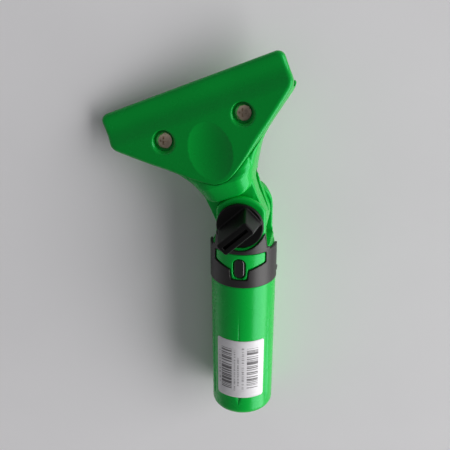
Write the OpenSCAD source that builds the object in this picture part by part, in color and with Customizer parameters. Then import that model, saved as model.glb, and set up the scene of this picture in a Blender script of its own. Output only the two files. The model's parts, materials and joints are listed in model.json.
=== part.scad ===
// Squeegee handle with a swivelling clamp head.
// A tapered tube with a pole socket ends in a fork. A triangular head with two
// clamping jaws swings between the ears of the fork and is locked by a knob.
//
// The pieces are drawn in three frames that share the pivot as their origin:
// - tool frame: +Z along the handle towards the head, -Y is the front, +X to the right
// - head frame: the tool frame swung about the pivot pin by the swivel angle
// - jaw frame: the head frame leaned back by the pitch of the jaws
// At the end everything is laid on its back on a level surface.

/* [Handle] */
// Distance from the pivot pin to the mouth of the pole socket
handle_len = 122.3; // [110:1:150]
// Radius of the tube under the collar
tube_r_top = 18; // [17.6:0.1:19]
// Radius of the tube at its open end
tube_r_end = 17.4; // [16.6:0.1:18]
// Radius that rounds the open end of the tube
end_round = 4; // [2:0.5:4.5]
// Number of V flutes round the tube
flutes = 6; // [3:1:8]
// Greatest depth of a flute
flute_depth = 0.9; // [0.4:0.1:1.4]
// Distance from the pivot to the upper tip of the flutes
flute_top = 50; // [46:1:60]
// Distance from the open end to the lower end of the flutes
flute_end = 12; // [8:1:20]

/* [Pole socket] */
// Radius of the socket bore
socket_r = 12.75; // [11.5:0.05:13.5]
// Depth of the straight bore from the mouth
socket_depth = 64; // [45:1:72]
// Radius of the narrower bore beyond the shoulder
inner_bore_r = 11; // [9.5:0.1:11.3]

/* [Fork] */
// Half of the slot between the ears
slot_half = 9.5; // [9.2:0.1:10.5]
// Distance from the pivot down to the floor of the slot
slot_floor = 15.2; // [14.6:0.1:17]
// Radius of the ears round the pivot
ear_r = 15.3; // [14.6:0.1:15.4]
// Distance from the middle plane to the flat of the front ear
front_flat = 13; // [12.4:0.1:14]
// Distance from the middle plane to the flat of the rear ear
rear_flat = 16; // [15.5:0.1:16.6]

/* [Collar] */
// Outer radius of the collar
collar_r = 18.5; // [18.2:0.1:19.5]
// Wall of the collar
collar_wall = 1.5; // [1.2:0.1:1.8]
// Distance from the pivot to the lower edge of the collar
collar_bottom = 36.4; // [34.5:0.1:40]
// Distance from the pivot to the peaks of the collar
collar_peak = 5.5; // [4:0.1:9]
// Radius of the round cut that clears the knob
collar_cut_r = 15.8; // [15.5:0.1:16.4]
// Distance from the pivot to the upper edge of the window
window_top = 17; // [16.6:0.1:18]
// Height of the window at its sides
window_side = 7; // [5:0.1:8]
// Half of the angle that the window spans
window_angle = 50; // [40:1:54]
// Half of the width of the tab under the window at its foot
tab_half_low = 4.6; // [4.4:0.1:5.2]
// Half of the width of the tab under the window at its root
tab_half_high = 5.6; // [5.4:0.1:7]
// Distance from the pivot to the foot of the tab
tab_bottom = 32.8; // [32.6:0.1:33.6]
// Gap between the window and the pad inside it
window_gap = 0.3; // [0.2:0.05:0.4]

/* [Release button] */
// Width of the button hole
hole_w = 7.4; // [6.6:0.1:7.8]
// Length of the button hole
hole_len = 12.8; // [10:0.1:13]
// Distance from the pivot to the middle of the button
button_z = 25.6; // [25:0.1:25.8]
// Gap between the button and its hole
button_gap = 0.3; // [0.25:0.05:0.5]
// Depth of the button face under the outside of the collar
button_sunk = 0.9; // [0.6:0.1:1.4]
// Travel of the button
button_travel = 2; // [1:0.1:2.4]

/* [Knob] */
// Radius of the knob disc
knob_r = 12.7; // [12:0.1:13.5]
// Thickness of the knob disc
knob_disc_t = 2.7; // [2:0.1:3.5]
// Height of the grip bar over the disc
grip_h = 11.6; // [10:0.1:13]
// Length of the grip bar
grip_len = 21.5; // [18:0.5:23]
// Width of the grip bar
grip_w = 9; // [8.8:0.1:10]
// Length of the slot in the grip bar
grip_slot_len = 17; // [12:0.5:17]
// Width of the slot in the grip bar
grip_slot_w = 1.6; // [1.2:0.1:2]
// Turn of the grip bar from the X axis
grip_turn = 41; // [0:1:90]

/* [Pivot] */
// Radius of the pivot bolt
bolt_r = 3; // [2.5:0.5:3]
// Width across the flats of the bolt head
bolt_af = 10; // [9:0.5:11]
// Height of the bolt head
bolt_head_h = 3.9; // [3:0.1:4]
// Wall of the pivot bush
bush_wall = 1.5; // [1:0.1:2]
// Running clearance round the bolt
run_clear = 0.05; // [0.03:0.01:0.08]
// Thickness of the friction discs
disc_t = 0.5; // [0.3:0.1:0.7]
// Radius of the friction discs
disc_r = 12; // [9:0.5:13]
// Thickness of the knob washer
washer_t = 1; // [0.6:0.1:1.4]
// Clearance between faces that slide on each other
face_clear = 0.06; // [0.05:0.01:0.15]

/* [Head] */
// Swivel angle of the head as it lies
swivel = 22.9; // [-60:0.1:60]
// Lean of the jaws against the pivot plane
pitch = 16; // [12:0.5:20]
// Half of the width of the neck between the ears
neck_half = 13.5; // [12:0.1:14]
// Half of the width of the jaws
jaw_half = 51.8; // [46:0.1:56]
// Distance from the pivot to the top edge of the front jaw
jaw_top = 75; // [72:0.1:80]
// Length of the short edges at the ends of the jaws
jaw_end = 17.2; // [15:0.1:19]
// Distance from the pivot to the foot of the front jaw
jaw_foot = 20.5; // [20:0.1:23]
// Radius of the foot of the front jaw
foot_r = 14; // [12:0.5:16]
// Radius of the upper corners of the jaws
jaw_corner = 4; // [2:0.5:5]
// Distance from the pivot plane to the face of the front jaw
jaw_front = 22; // [21.5:0.1:23]
// Thickness of the front jaw
jaw_t = 6; // [5.5:0.1:6.5]
// Gap between the closed jaws
jaw_gap = 0.2; // [0.1:0.05:0.3]
// Depth of the valley under the top lip
valley = 1.9; // [1:0.1:2.5]
// Distance from the pivot to the lower side of the nose
nose_foot = 15.9; // [15.8:0.1:17.5]
// Distance from the pivot to the tip of the rear hook
hook_top = 58.6; // [58:0.1:61]
// Thickness of the rear hook
hook_t = 2.2; // [1.8:0.1:2.6]
// Depth of the channel seat behind the hook
seat_depth = 3.2; // [2:0.1:3.4]

/* [Clamp screws] */
// Half of the distance between the clamp screws
screw_x = 22.8; // [20:0.1:25]
// Distance from the pivot to the clamp screws
screw_z = 51.3; // [49:0.1:51.4]
// Radius of the screw shanks
screw_r = 2; // [1.5:0.5:2]
// Radius of the screw heads
screw_head_r = 4.3; // [4:0.1:4.6]
// Height of the screw heads
screw_head_h = 2.2; // [1.8:0.1:2.6]
// Radius of the recess round a screw head
recess_r = 5.6; // [5.2:0.1:6]
// Depth of the recess
recess_depth = 3.4; // [3:0.1:3.8]
// Width across the flats of the nuts
nut_af = 7; // [5.5:0.5:7]
// Thickness of the nuts
nut_t = 3.2; // [2.4:0.1:3.4]

/* [Hidden] */
$fn = 96;
// Overshoot of a cut beyond the face it opens
cut = 1;
// Size of a block that is larger than the part
big = 400;

// Collar seat, window pad and button
seat_r = collar_r - collar_wall;
pad_r = seat_r + collar_wall * 0.55;
fit_gap = 0.05;
button_face_r = collar_r - button_sunk;
button_w = hole_w - 2 * button_gap;
button_len = hole_len - 2 * button_gap;
flange_w = button_w + 3;
flange_len = button_len + 3;
flange_t = 1;
flange_r = inner_bore_r + 1.3;
spring_t = 0.5;
spring_w = 5;
spring_foot = button_z + hole_len / 2 + 15;
spring_y = inner_bore_r - 0.4;
rivet_r = 1.5;
rivet_z = spring_foot - 3.5;

// Stack on the pivot bolt, counted from the middle plane to the front
neck_t_half = slot_half - disc_t - 2 * face_clear;
washer_y = front_flat + face_clear;
knob_y = washer_y + washer_t + face_clear;
knob_face_y = knob_y + knob_disc_t;
grip_top_y = knob_face_y + grip_h;
insert_r = bolt_r + 0.9;
insert_len = 9;
bolt_end_y = knob_y + insert_len + 0.4;
bush_r = bolt_r + run_clear + bush_wall;
washer_r = bolt_r * 2.1;
pocket_floor = rear_flat - bolt_head_h;

// Jaws: parting plane, channel seat and hook, in the jaw frame
part_y = -jaw_front + jaw_t;
seat_floor = hook_top - seat_depth;
back_y = neck_t_half - 0.1;
hook_back = (back_y - hook_top * sin(pitch)) / cos(pitch);
hook_front = hook_back - hook_t;
nut_back = (back_y - (screw_z + nut_af / 2) * sin(pitch)) / cos(pitch);
screw_seat = -jaw_front + recess_depth;
screw_end = nut_back - 0.4;
hole_clear = 0.25;

// Pitch and roll that lay the tool down: it touches the surface with the end of the tube,
// the lower edge of the collar and the tip of the hook on its lower side.
touch_z = handle_len - end_round;
lay_pitch = atan((collar_r - tube_r_end) / (touch_z - collar_bottom));
touch_h = tube_r_end * cos(lay_pitch) + touch_z * sin(lay_pitch);
back_corner = 1.5;
back_top = hook_back * sin(-pitch) + hook_top * cos(pitch) + 0.6;
hook_tip = turn_y([
    -jaw_half + back_corner * (1 - cos(15)), back_y, back_top - back_corner * (1 - sin(15))
], -swivel);
tip_arm = sqrt(pow(hook_tip[0], 2) + pow(hook_tip[1], 2));
tip_reach = (touch_h + hook_tip[2] * sin(lay_pitch)) / cos(lay_pitch);
lay_roll = atan2(hook_tip[0], hook_tip[1]) + acos(tip_reach / tip_arm);

// Turn a point about the X axis
function turn_x(p, a) = [p[0], p[1] * cos(a) - p[2] * sin(a), p[1] * sin(a) + p[2] * cos(a)];
// Turn a point about the Y axis
function turn_y(p, a) = [p[0] * cos(a) + p[2] * sin(a), p[1], p[2] * cos(a) - p[0] * sin(a)];
// Jaw frame to head frame
function jaw_to_head(p) = turn_x(p, -pitch);
// Point of a cubic curve with the control points c
function bezier(c, t) = pow(1 - t, 3) * c[0] + 3 * pow(1 - t, 2) * t * c[1]
    + 3 * (1 - t) * t * t * c[2] + pow(t, 3) * c[3];
// Arc with the centre m from angle a to angle b in n steps
function arc(m, r, a, b, n) = [for (i = [0 : n]) let (w = a + (b - a) * i / n)
    [m[0] + r * cos(w), m[1] + r * sin(w)]];
// Whole outline from its right half, which ends at the middle of the foot
function whole(half) = concat(half, [for (i = [len(half) - 2 : -1 : 0]) [-half[i][0], half[i][1]]]);

// Right half of an outline of the head from the corner of its top to the middle of its foot:
// half width w, top t, lower end of the short edge e, the curve c down the flank and the foot arc
function half_outline(w, t, e, r, c, foot, foot_radius) = concat(
    arc([w - r, t - r], r, 90, 0, 6),
    arc([w - 2, e + 2], 2, 0, -50, 3),
    [for (i = [1 : 9]) bezier(c, i / 10)],
    arc([0, foot + foot_radius], foot_radius, -44, -90, 6)
);

// Outline of the front jaw in the jaw frame
jaw_edge = jaw_top - jaw_end;
jaw_flank = [
    [jaw_half - 1, jaw_edge], [36, 47], [23, 40], [foot_r * cos(44), jaw_foot + foot_r * (1 - sin(44))]
];
jaw_outline = half_outline(jaw_half, jaw_top, jaw_edge, jaw_corner, jaw_flank, jaw_foot, foot_r);

// Outline of the back of the head in the head frame
back_edge = back_top - 3.5;
back_flank = [[jaw_half - 1, back_edge], [34, 43.5], [20, 37.5], [neck_half, 15]];
back_outline = concat(
    arc([jaw_half - back_corner, back_top - back_corner], back_corner, 90, 0, 6),
    arc([jaw_half - 1, back_edge + 1], 1, 0, -50, 3),
    [for (i = [1 : 9]) bezier(back_flank, i / 10)],
    [for (i = [0 : 6]) [neck_half * cos(15 * i), 14 - 2 * sin(15 * i)]]
);

// Put the children of the head frame and of the jaw frame into the tool frame
module in_head() rotate([0, -swivel, 0]) children();
module in_jaw() in_head() rotate([-pitch, 0, 0]) children();

// Lay the tool frame on its back, with the mouth of the pole socket at the origin
module laid() {
    rotate([-90 + lay_pitch, 0, 0])
        rotate([0, 0, lay_roll])
            translate([0, 0, handle_len])
                children();
}

// Extrude along Y from y0 to y1 a figure drawn with X to the right and Y as height
module along_y(y0, y1) translate([0, y1, 0]) rotate([90, 0, 0]) linear_extrude(y1 - y0) children();
// Cylinder along Y from y0 to y1
module rod_y(r, y0, y1, x = 0, z = 0) translate([x, y0, z]) rotate([-90, 0, 0]) cylinder(r = r, h = y1 - y0);
// Hexagon prism along Y from y0 to y1
module hex_y(af, y0, y1, x = 0, z = 0) translate([x, y0, z]) rotate([-90, 0, 0])
    rotate([0, 0, 30]) cylinder(r = af / 2 / cos(30), h = y1 - y0, $fn = 6);
// Slot shape, w wide and l long
module obround(w, l) {
    square([w, l - w], center = true);
    for (s = [-1, 1]) translate([0, s * (l - w) / 2]) circle(d = w);
}
// Half space in front of the parting plane, in the jaw frame
module front_of(y) translate([-big / 2, y - big, -big / 2]) cube(big);

// Round body of the handle without its bores
module tube_body() {
    rotate_extrude() polygon(concat(
        [[0, -handle_len]],
        arc([tube_r_end - end_round, -touch_z], end_round, -90, 0, 8),
        [[tube_r_top, -collar_bottom - 8], [tube_r_top, ear_r], [0, ear_r]]
    ));
}

// One tapered V flute on the front of the tube, a slim wedge that fades out at both ends
module flute() {
    z0 = -handle_len + flute_end;
    half = flute_depth * 2.2;
    slope = (tube_r_top - tube_r_end) / (handle_len - collar_bottom);
    deep_r = tube_r_end + slope * flute_end;
    polyhedron(
        points = [
            [0, -deep_r + flute_depth, z0], [half, -deep_r - flute_depth, z0],
            [-half, -deep_r - flute_depth, z0],
            [0, -tube_r_top - 0.1, -flute_top], [0, -deep_r - 0.3, z0 - 5],
        ],
        faces = [[0, 1, 3], [1, 2, 3], [2, 0, 3], [1, 0, 4], [2, 1, 4], [0, 2, 4]]
    );
}

// Ears of the fork, seen along the pivot pin
module ear_shape() {
    circle(ear_r);
    translate([-ear_r, -collar_cut_r - 1]) square([2 * ear_r, collar_cut_r + 1]);
}

// Ring that the collar fills, grown by g
module collar_ring(g) {
    difference() {
        translate([0, 0, -collar_bottom - g])
            cylinder(r = collar_r + 2 * g + cut, h = collar_bottom - collar_peak + g);
        translate([0, 0, -big / 2]) cylinder(r = seat_r - g, h = big);
        rod_y(collar_cut_r - g, -big / 2, big / 2);
        translate([-big / 2, -slot_half + g, -slot_floor + g]) cube([big, 2 * slot_half - 2 * g, big]);
    }
}

// Figure of the window as seen from the front, shrunk by g
module window_shape(g) {
    half = collar_r * sin(window_angle) - g;
    low = window_top + window_side - g;
    root = low + 3.4;
    polygon([
        [-half, -window_top - g], [-half, -low], [-tab_half_high + g, -root],
        [-tab_half_low + g, -tab_bottom + g], [tab_half_low - g, -tab_bottom + g],
        [tab_half_high - g, -root], [half, -low], [half, -window_top - g],
    ]);
}

// Block that cuts the window from the front, shrunk by g
module window_block(g) along_y(-collar_r - cut, -seat_r / 2) window_shape(g);

module handle() color("#00a548") laid() {
    difference() {
        union() {
            difference() {
                intersection() {
                    tube_body();
                    union() {
                        along_y(-front_flat, rear_flat) ear_shape();
                        difference() {
                            translate([-big / 2, -big / 2, -big]) cube([big, big, big - collar_peak]);
                            rod_y(collar_cut_r, -big / 2, big / 2);
                        }
                    }
                }
                collar_ring(fit_gap);
                translate([-big / 2, -slot_half, -slot_floor]) cube([big, 2 * slot_half, big]);
            }
            intersection() {
                window_block(window_gap);
                translate([0, 0, -collar_bottom]) difference() {
                    cylinder(r = pad_r, h = collar_bottom);
                    translate([0, 0, -cut]) cylinder(r = seat_r - 1, h = collar_bottom + 2 * cut);
                }
            }
        }
        translate([0, 0, -handle_len - cut]) cylinder(r = socket_r, h = socket_depth + cut);
        translate([0, 0, -handle_len + socket_depth - cut])
            cylinder(r = inner_bore_r, h = handle_len - socket_depth - slot_floor - 2.4 + cut);
        for (i = [0 : flutes - 1]) rotate([0, 0, i * 360 / flutes]) flute();
        rod_y(bolt_r + fit_gap, -big / 2, big / 2);
        hex_y(bolt_af + 2 * fit_gap, pocket_floor, big / 2);
        along_y(-collar_r - cut, 0) translate([0, -button_z]) obround(hole_w, hole_len);
        along_y(-flange_r - flange_t - button_gap, 0) translate([0, -button_z])
            obround(flange_w + 2 * button_gap, flange_len + 2 * button_gap);
        rod_y(rivet_r, -spring_y - 2.2, 0, 0, -rivet_z);
    }
}

module collar() color("dimgray") laid() {
    difference() {
        intersection() {
            collar_ring(0);
            translate([0, 0, -collar_bottom]) cylinder(r = collar_r, h = collar_bottom);
        }
        window_block(0);
    }
    // Moulded catch on the side
    translate([collar_r - 1, -1.6, -collar_bottom + 4]) cube([1.3, 3.2, 2]);
}

module release_button() color("black") laid() {
    intersection() {
        union() {
            along_y(-collar_r, -flange_r) translate([0, -button_z]) obround(button_w, button_len);
            along_y(-flange_r - flange_t, -flange_r) translate([0, -button_z]) obround(flange_w, flange_len);
        }
        translate([0, 0, -handle_len]) cylinder(r = button_face_r, h = handle_len);
    }
    along_y(-flange_r, -spring_y - 0.1) translate([0, -button_z]) obround(button_w - 3, button_len - 5);
}

module button_spring() color("silver") laid() {
    difference() {
        along_y(-spring_y, -spring_y + spring_t)
            translate([-spring_w / 2, -spring_foot]) square([spring_w, spring_foot - button_z + 4]);
        rod_y(rivet_r, -big / 2, 0, 0, -rivet_z);
    }
}

module spring_rivet() color("silver") laid() {
    rod_y(rivet_r, -spring_y - 2.2, -spring_y + spring_t, 0, -rivet_z);
    rod_y(rivet_r + 0.9, -spring_y + spring_t, -spring_y + spring_t + 0.7, 0, -rivet_z);
}

module pivot_bolt() color("silver") laid() {
    rod_y(bolt_r, -bolt_end_y, pocket_floor + cut);
    hex_y(bolt_af, pocket_floor, rear_flat - 0.1);
}

// Ring round the pivot pin from y0 to y1
module ring_y(r, hole, y0, y1) difference() {
    rod_y(r, y0, y1);
    rod_y(hole, y0 - cut, y1 + cut);
}

module pivot_bush() color("goldenrod") laid() ring_y(bush_r, bolt_r + run_clear, -neck_t_half, neck_t_half);

module friction_disc_front() color("darkslategray") laid()
    ring_y(disc_r, bolt_r + fit_gap, -slot_half + face_clear / 2, -slot_half + face_clear / 2 + disc_t);

module friction_disc_rear() color("darkslategray") laid()
    ring_y(disc_r, bolt_r + fit_gap, slot_half - face_clear / 2 - disc_t, slot_half - face_clear / 2);

module knob_washer() color("silver") laid()
    ring_y(washer_r, bolt_r + run_clear, -washer_y - washer_t, -washer_y);

module knob() color("black") laid() {
    difference() {
        union() {
            rod_y(knob_r, -knob_face_y, -knob_y);
            rotate([0, -grip_turn, 0]) along_y(-grip_top_y, -knob_face_y + 1) {
                square([grip_len - grip_w / 2, grip_w], center = true);
                for (s = [-1, 1]) translate([s * (grip_len / 2 - grip_w / 4), 0]) intersection() {
                    translate([-s * grip_w / 2, 0]) circle(r = grip_w * 3 / 4);
                    square([grip_w / 2, grip_w], center = true);
                }
            }
        }
        rotate([0, -grip_turn, 0]) along_y(-grip_top_y - cut, -grip_top_y + 3)
            square([grip_slot_len, grip_slot_w], center = true);
        rod_y(insert_r, -knob_y - insert_len - 1, cut);
    }
}

module knob_insert() color("goldenrod") laid() {
    difference() {
        rod_y(insert_r, -knob_y - insert_len - 1, -knob_y);
        rod_y(bolt_r + run_clear, -bolt_end_y - 0.2, 0);
    }
}

// Triangles that fill a mirrored outline of n points, whose foot is its middle point
function strip(n) = let (m = (n - 1) / 2) [for (i = [0 : m - 1]) each
    concat([[i, i + 1, n - 1 - i]], i == m - 1 ? [] : [[i + 1, n - 2 - i, n - 1 - i]])];

// Loft between two mirrored outlines that have the same number of points, in 3-D points
module loft(a, b) {
    n = len(a);
    polyhedron(
        points = concat(a, b),
        faces = concat(
            strip(n),
            [for (f = strip(n)) [n + f[2], n + f[1], n + f[0]]],
            [for (i = [0 : n - 1]) let (j = (i + 1) % n) each [[i, n + i, n + j], [i, n + j, j]]]
        ),
        convexity = 6
    );
}

// Rounded nose under the front jaw, in the head frame, with no point below nose_foot
module nose() {
    lip = 1.2;
    chin_r = 10;
    cheek_r = 12;
    hull() {
        rotate([-pitch, 0, 0]) along_y(part_y - 0.4, part_y + 1) intersection() {
            polygon(whole(jaw_outline));
            translate([-24, 0]) square([48, 39]);
        }
        for (s = [-1, 1]) {
            translate([s * 4.5, -front_flat + 0.6, nose_foot + chin_r]) rotate([-90, 0, 0]) {
                cylinder(r = chin_r - lip, h = 2, $fn = 32);
                translate([0, 0, lip]) cylinder(r = chin_r, h = 2, $fn = 32);
            }
            along_y(-neck_t_half, -neck_t_half + 1)
                translate([s * (neck_half - 8), nose_foot + cheek_r]) circle(cheek_r, $fn = 32);
        }
        along_y(4, 5) translate([-neck_half + 0.3, nose_foot]) square([2 * neck_half - 0.6, 18]);
    }
}

module rear_jaw() color("#00a548") laid() {
    difference() {
        in_head() {
            difference() {
                union() {
                    loft(
                        [for (p = whole(jaw_outline)) jaw_to_head([p[0], part_y - 0.5, p[1]])],
                        [for (p = whole(back_outline)) [p[0], back_y, p[1]]]
                    );
                    nose();
                    along_y(-neck_t_half, neck_t_half) {
                        circle(neck_half);
                        translate([-neck_half, 0]) square([2 * neck_half, 24]);
                    }
                }
                for (s = [-1, 1]) hull() {
                    translate([s * (neck_half + 1), 0, 21]) rotate([0, 90, 0])
                        cylinder(r = 4.2, h = 8, center = true, $fn = 32);
                    translate([s * (neck_half + 1), 3.2, -6]) rotate([0, 90, 0])
                        cylinder(r = 1.4, h = 8, center = true, $fn = 32);
                }
                rod_y(bush_r, -big / 2, big / 2);
            }
        }
        in_jaw() {
            front_of(part_y);
            // Channel seat in front of the hook, open upwards
            translate([-big / 2, part_y - cut, seat_floor]) cube([big, hook_front - part_y + cut, big]);
            translate([-big / 2, part_y - cut, hook_top]) cube([big, big, big]);
            for (s = [-1, 1]) {
                rod_y(screw_r + hole_clear, -big / 2, big / 2, s * screw_x, screw_z);
                hex_y(nut_af + 0.1, nut_back - nut_t, big / 2, s * screw_x, screw_z);
            }
        }
    }
}

// Side view of the front jaw, with x as depth and y as height
module jaw_profile() {
    lip = 1.6;
    waist = jaw_edge + 6;
    polygon(concat(
        [[part_y - jaw_gap, jaw_foot - cut], [part_y - jaw_gap, seat_floor + 6]],
        [[part_y - jaw_gap - 1, seat_floor + 8], [part_y - jaw_gap - 1, jaw_top - lip]],
        [[-jaw_front + lip, jaw_top - lip]],
        [for (i = [0 : 10]) let (t = i / 10)
            [-jaw_front + 0.5 + valley * pow(sin(180 * t), 2) - 0.5 * t, jaw_top - lip - 18 * t]],
        [[-jaw_front, jaw_foot - cut]]
    ));
    hull() {
        translate([-jaw_front + lip, jaw_top - lip]) circle(lip);
        translate([part_y - jaw_gap - 1 - lip, jaw_top - lip]) circle(lip);
    }
}

module front_jaw() color("#00a548") laid() in_jaw() {
    dip = 1.7;
    dip_x = 34;
    dip_z = 66;
    difference() {
        intersection() {
            along_y(-jaw_front, part_y - jaw_gap) polygon(whole(jaw_outline));
            translate([-jaw_half - cut, 0, 0]) rotate([90, 0, 90])
                linear_extrude(2 * jaw_half + 2 * cut) jaw_profile();
        }
        // Thumb dimple, a barrel that dips into the face
        translate([0, -jaw_front - dip_x + dip, jaw_foot + 17.5]) rotate_extrude() intersection() {
            translate([dip_x - dip_z, 0]) circle(dip_z);
            translate([0, -big / 2]) square([big, big]);
        }
        for (s = [-1, 1]) {
            rod_y(screw_r + hole_clear, -big / 2, big / 2, s * screw_x, screw_z);
            rod_y(recess_r, -jaw_front - cut, screw_seat, s * screw_x, screw_z);
            translate([s * screw_x, -jaw_front - 0.01, screw_z - 1]) rotate([-90, 0, 0])
                cylinder(r1 = recess_r + 1, r2 = recess_r - 1.5, h = recess_depth - 0.4);
        }
    }
}

// Clamp screw on the side s
module clamp_screw(s) in_jaw() {
    head = screw_seat - screw_head_h;
    difference() {
        union() {
            rod_y(screw_r, screw_seat - cut, screw_end, s * screw_x, screw_z);
            intersection() {
                rod_y(screw_head_r, head, screw_seat - face_clear, s * screw_x, screw_z);
                translate([s * screw_x, head + screw_head_r * 2, screw_z]) sphere(screw_head_r * 2);
            }
        }
        for (a = [0, 90]) translate([s * screw_x, head - cut, screw_z]) rotate([0, a + 20, 0])
            translate([-0.55, 0, -2.2]) cube([1.1, cut + 1.3, 4.4]);
    }
}

// Captive nut on the side s
module clamp_nut(s) in_jaw() difference() {
    hex_y(nut_af, nut_back - nut_t, nut_back, s * screw_x, screw_z);
    rod_y(screw_r + run_clear, -big / 2, big / 2, s * screw_x, screw_z);
}

module clamp_screw_left() color("silver") laid() clamp_screw(-1);
module clamp_screw_right() color("silver") laid() clamp_screw(1);
module clamp_nut_left() color("silver") laid() clamp_nut(-1);
module clamp_nut_right() color("silver") laid() clamp_nut(1);

handle();
collar();
release_button();
button_spring();
spring_rivet();
pivot_bolt();
pivot_bush();
friction_disc_front();
friction_disc_rear();
knob();
knob_insert();
knob_washer();
rear_jaw();
front_jaw();
clamp_screw_left();
clamp_screw_right();
clamp_nut_left();
clamp_nut_right();
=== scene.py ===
"""Looks of the squeegee handle: moulded pieces as distance fields, materials, light and camera."""
import json
import math

import bpy
import numpy as np
from mathutils import Matrix, Vector


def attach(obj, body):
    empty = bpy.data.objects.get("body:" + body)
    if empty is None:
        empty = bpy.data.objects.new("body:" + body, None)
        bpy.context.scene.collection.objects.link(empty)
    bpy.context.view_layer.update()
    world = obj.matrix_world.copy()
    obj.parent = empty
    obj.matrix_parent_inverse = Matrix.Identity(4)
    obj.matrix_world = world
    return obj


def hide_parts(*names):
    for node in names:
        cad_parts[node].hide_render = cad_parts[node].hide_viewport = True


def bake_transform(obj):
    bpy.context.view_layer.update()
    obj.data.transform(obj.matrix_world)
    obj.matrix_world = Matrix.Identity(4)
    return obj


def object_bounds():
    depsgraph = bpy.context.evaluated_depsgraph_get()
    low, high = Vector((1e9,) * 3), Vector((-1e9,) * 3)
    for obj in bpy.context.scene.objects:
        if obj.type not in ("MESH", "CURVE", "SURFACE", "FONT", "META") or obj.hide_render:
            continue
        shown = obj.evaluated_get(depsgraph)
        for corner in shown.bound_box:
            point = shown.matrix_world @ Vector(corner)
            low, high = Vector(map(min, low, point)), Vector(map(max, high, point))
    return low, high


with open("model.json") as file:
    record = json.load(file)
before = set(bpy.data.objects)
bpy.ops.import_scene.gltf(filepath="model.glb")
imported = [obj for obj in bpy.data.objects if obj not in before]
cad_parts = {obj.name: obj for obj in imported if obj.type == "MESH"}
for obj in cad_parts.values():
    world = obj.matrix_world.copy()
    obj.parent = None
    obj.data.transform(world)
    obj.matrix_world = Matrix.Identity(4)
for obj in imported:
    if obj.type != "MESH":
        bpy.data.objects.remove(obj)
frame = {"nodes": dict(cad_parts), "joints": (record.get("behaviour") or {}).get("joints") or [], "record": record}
CAD_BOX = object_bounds()
REC = frame["record"]

# ---------------------------------------------------------------- frames
# Tool frame in mm: +Z along the handle to the head, -Y to the front, +X to the right, pivot at
# the origin. The head frame turns with the head, the jaw frame also pitches with the plate.
JOINTS = {j["name"]: j for j in frame["joints"]}
MOUNTS = {m["name"]: m for m in REC["mounts"]}
SWIVEL, PITCH = 22.9, 16.0


def rot(axis, deg):
    return np.array(Matrix.Rotation(math.radians(deg), 3, axis))


ORIGIN = np.array(JOINTS["head_swivel"]["pos_m"])
YT = -np.array(JOINTS["head_swivel"]["axis"])
ZT = -np.array(MOUNTS["pole_socket"]["axis"])
TOOL = np.stack([np.cross(YT, ZT), YT, ZT], 1)
HEAD = TOOL @ rot("Y", -SWIVEL)
JAW = HEAD @ rot("X", -PITCH)


def to_row(p, basis=TOOL):
    """Point in mm in the given frame to metres in the row frame."""
    return np.asarray(p, float) @ basis.T / 1000 + ORIGIN


# ---------------------------------------------------------------- distance fields
def round_max(a, b, r):
    """Intersection of two fields with an edge rounded by r."""
    u, v = np.maximum(a + r, 0), np.maximum(b + r, 0)
    return np.minimum(np.maximum(a, b), -r) + np.sqrt(u * u + v * v)


def round_min(a, b, r):
    """Union of two fields with a fillet of radius r."""
    return -round_max(-a, -b, r)


def slab(v, lo, hi):
    return np.maximum(lo - v, v - hi)


def obround(x, z, w, l):
    """Slot w wide and l long along Z, with round ends."""
    return np.hypot(x, np.maximum(np.abs(z) - (l - w) / 2, 0)) - w / 2


def hexagon(x, z, flat):
    """Six-sided bar along Y; flat is half its width across flats."""
    side = np.maximum(np.abs(x * 0.866 + z * 0.5), np.abs(x * 0.866 - z * 0.5))
    return np.maximum(np.abs(z), side) - flat


def arc(m, r, a, b, n):
    """Points on a circle round m from angle a to b, in degrees."""
    return [(m[0] + r * math.cos(math.radians(a + (b - a) * i / n)),
             m[1] + r * math.sin(math.radians(a + (b - a) * i / n))) for i in range(n + 1)]


def spline(pts, n=6):
    """Smooth curve through points, n steps between neighbours."""
    p = np.array([pts[0]] + list(pts) + [pts[-1]], float)
    out = []
    for a, b, c, d in zip(p, p[1:], p[2:], p[3:]):
        for t in np.arange(n) / n:
            out.append(0.5 * (2 * b + (c - a) * t + (2 * a - 5 * b + 4 * c - d) * t * t
                              + (3 * b - a - 3 * c + d) * t ** 3))
    return [tuple(q) for q in out] + [tuple(p[-1])]


def mirrored(half):
    return half + [(-x, z) for x, z in half[-2::-1]]


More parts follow.
